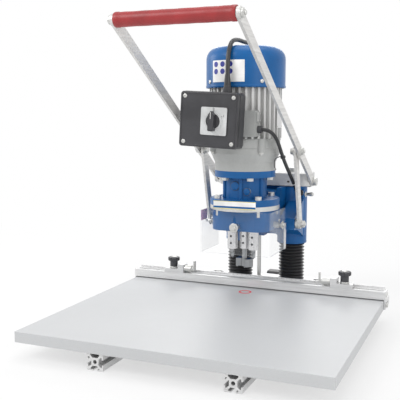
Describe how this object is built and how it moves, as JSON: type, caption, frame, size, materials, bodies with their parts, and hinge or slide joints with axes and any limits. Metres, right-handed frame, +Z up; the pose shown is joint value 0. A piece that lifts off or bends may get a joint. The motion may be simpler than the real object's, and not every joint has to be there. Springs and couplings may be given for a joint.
{
  "type": "hinge boring machine",
  "caption": "Bench boring machine: a motor head with three geared spindles slides on two columns and is pulled down over a table and fence by a long lever.",
  "frame": {"origin": "middle of the footprint of table and base plate, on the surface that the two profiles stand on", "axes": "+Z up, -Y towards the operator (front edge of the table), +X to the operator's right"},
  "size_m": [0.564, 0.713, 0.5785],
  "materials": {
    "laminate": "light grey laminate on board",
    "aluminium": "clear anodised",
    "blue_paint": "gloss paint on casting",
    "motor_grey": "cast, painted grey",
    "steel": "zinc plated",
    "ground_steel": "ground",
    "rotor_steel": "turned",
    "tool_steel": "ground tool steel",
    "bronze": "plain bush",
    "black_plastic": "moulded",
    "grey_plastic": "moulded",
    "red_grip": "soft sleeve",
    "black_rubber": "matt",
    "clear_plastic": "clear sheet"
  },
  "bodies": {
    "stand": {"table_board": "laminate", "profile_left": "aluminium", "profile_right": "aluminium", "table_brackets": "aluminium", "stand_screws": "steel", "base_plate": "steel", "column_left": "ground_steel", "column_right": "ground_steel", "crosshead": "motor_grey", "pivot_bolts": "steel", "bellows": "black_rubber", "return_springs": "steel", "depth_rod": "steel", "fence_bolts": "steel", "mains_lead_drop": "black_rubber", "mains_coil": "black_rubber", "mains_plug": "black_rubber"},
    "head": {"head_casting": "blue_paint", "guide_bushes": "bronze", "cross_shaft": "steel", "gear_housing": "blue_paint", "ring_plate": "steel", "motor_adapter": "blue_paint", "head_screws": "steel", "motor_shield": "motor_grey", "motor_housing": "motor_grey", "fan_cover": "blue_paint", "terminal_box": "motor_grey", "control_box": "black_plastic", "control_lid": "black_plastic", "switch_plate": "grey_plastic", "cable_glands": "black_plastic", "mains_lead_head": "black_rubber", "motor_lead": "black_rubber"},
    "switch": {"switch_knob": "black_plastic"},
    "drive_spindle": {"motor_rotor": "rotor_steel", "spindle_middle": "ground_steel", "hinge_cutter": "tool_steel"},
    "left_spindle": {"spindle_left": "ground_steel", "drill_left": "tool_steel"},
    "right_spindle": {"spindle_right": "ground_steel", "drill_right": "tool_steel"},
    "lever": {"lever_arm_left": "steel", "lever_arm_right": "steel", "lever_grip": "red_grip", "grip_rod": "steel", "link_pins": "steel"},
    "links": {"link_left": "steel", "link_right": "steel"},
    "fence": {"fence_rail": "aluminium", "fence_end_plates": "aluminium"},
    "left_stop": {"stop_block_left": "aluminium"},
    "right_stop": {"stop_block_right": "aluminium"},
    "left_knob": {"stop_knob_left": "black_plastic"},
    "right_knob": {"stop_knob_right": "black_plastic"},
    "left_flip": {"stop_flip_left": "steel"},
    "right_flip": {"stop_flip_right": "steel"},
    "guard": {"guard_shield": "clear_plastic", "guard_strip": "aluminium"},
    "depth_stop": {"depth_stop": "steel"}
  },
  "joints": [
    {"name": "head_slide", "type": "slide", "parent": "stand", "child": "head", "axis": [0, 0, -1], "range_m": [0, 0.05], "stiffness_N_per_m": 1500, "springref_m": -0.24, "deforming": ["bellows", "return_springs", "mains_lead_drop"]},
    {"name": "lever_pivot", "type": "hinge", "parent": "stand", "child": "lever", "pos_m": [0, 0.2425, 0.273], "axis": [1, 0, 0], "range_deg": [0, 26.62]},
    {"name": "link_pivot", "type": "hinge", "parent": "head", "child": "links", "pos_m": [0, 0.1705, 0.191], "axis": [1, 0, 0], "range_deg": [0, 8.4]},
    {"name": "drive_spin", "type": "hinge", "parent": "head", "child": "drive_spindle", "pos_m": [0, 0.1095, 0.199], "axis": [0, 0, 1], "continuous": true},
    {"name": "left_spin", "type": "hinge", "parent": "head", "child": "left_spindle", "pos_m": [-0.0225, 0.1, 0.199], "axis": [0, 0, 1], "continuous": true},
    {"name": "right_spin", "type": "hinge", "parent": "head", "child": "right_spindle", "pos_m": [0.0225, 0.1, 0.199], "axis": [0, 0, 1], "continuous": true},
    {"name": "switch_turn", "type": "hinge", "parent": "head", "child": "switch", "pos_m": [-0.02212, -0.0055, 0.40285], "axis": [0, 1, 0], "range_deg": [0, 60]},
    {"name": "fence_slide", "type": "slide", "parent": "stand", "child": "fence", "axis": [0, -1, 0], "range_m": [0, 0.025]},
    {"name": "left_stop_slide", "type": "slide", "parent": "fence", "child": "left_stop", "axis": [1, 0, 0], "range_m": [-0.06, 0.05]},
    {"name": "right_stop_slide", "type": "slide", "parent": "fence", "child": "right_stop", "axis": [-1, 0, 0], "range_m": [-0.055, 0.05]},
    {"name": "left_knob_turn", "type": "hinge", "parent": "left_stop", "child": "left_knob", "pos_m": [-0.186, 0.167, 0.079], "axis": [0, 0, 1], "range_deg": [0, 360]},
    {"name": "right_knob_turn", "type": "hinge", "parent": "right_stop", "child": "right_knob", "pos_m": [0.195, 0.167, 0.079], "axis": [0, 0, 1], "range_deg": [0, 360]},
    {"name": "left_flip_turn", "type": "hinge", "parent": "left_stop", "child": "left_flip", "pos_m": [-0.15, 0.1645, 0.077], "axis": [1, 0, 0], "range_deg": [0, 90]},
    {"name": "right_flip_turn", "type": "hinge", "parent": "right_stop", "child": "right_flip", "pos_m": [0.16, 0.1645, 0.077], "axis": [1, 0, 0], "range_deg": [0, 90]},
    {"name": "guard_slide", "type": "slide", "parent": "head", "child": "guard", "axis": [0, 0, -1], "range_m": [0, 0.018]},
    {"name": "depth_stop_slide", "type": "slide", "parent": "stand", "child": "depth_stop", "axis": [0, 0, -1], "range_m": [-0.09, 0]}
  ],
  "couplings": [
    {"joint": "lever_pivot", "follows": "head_slide", "rad_per_m": 9.285},
    {"joint": "link_pivot", "follows": "head_slide", "rad_per_m": 2.924},
    {"joint": "left_spin", "follows": "drive_spin", "ratio": -1},
    {"joint": "right_spin", "follows": "drive_spin", "ratio": -1}
  ]
}
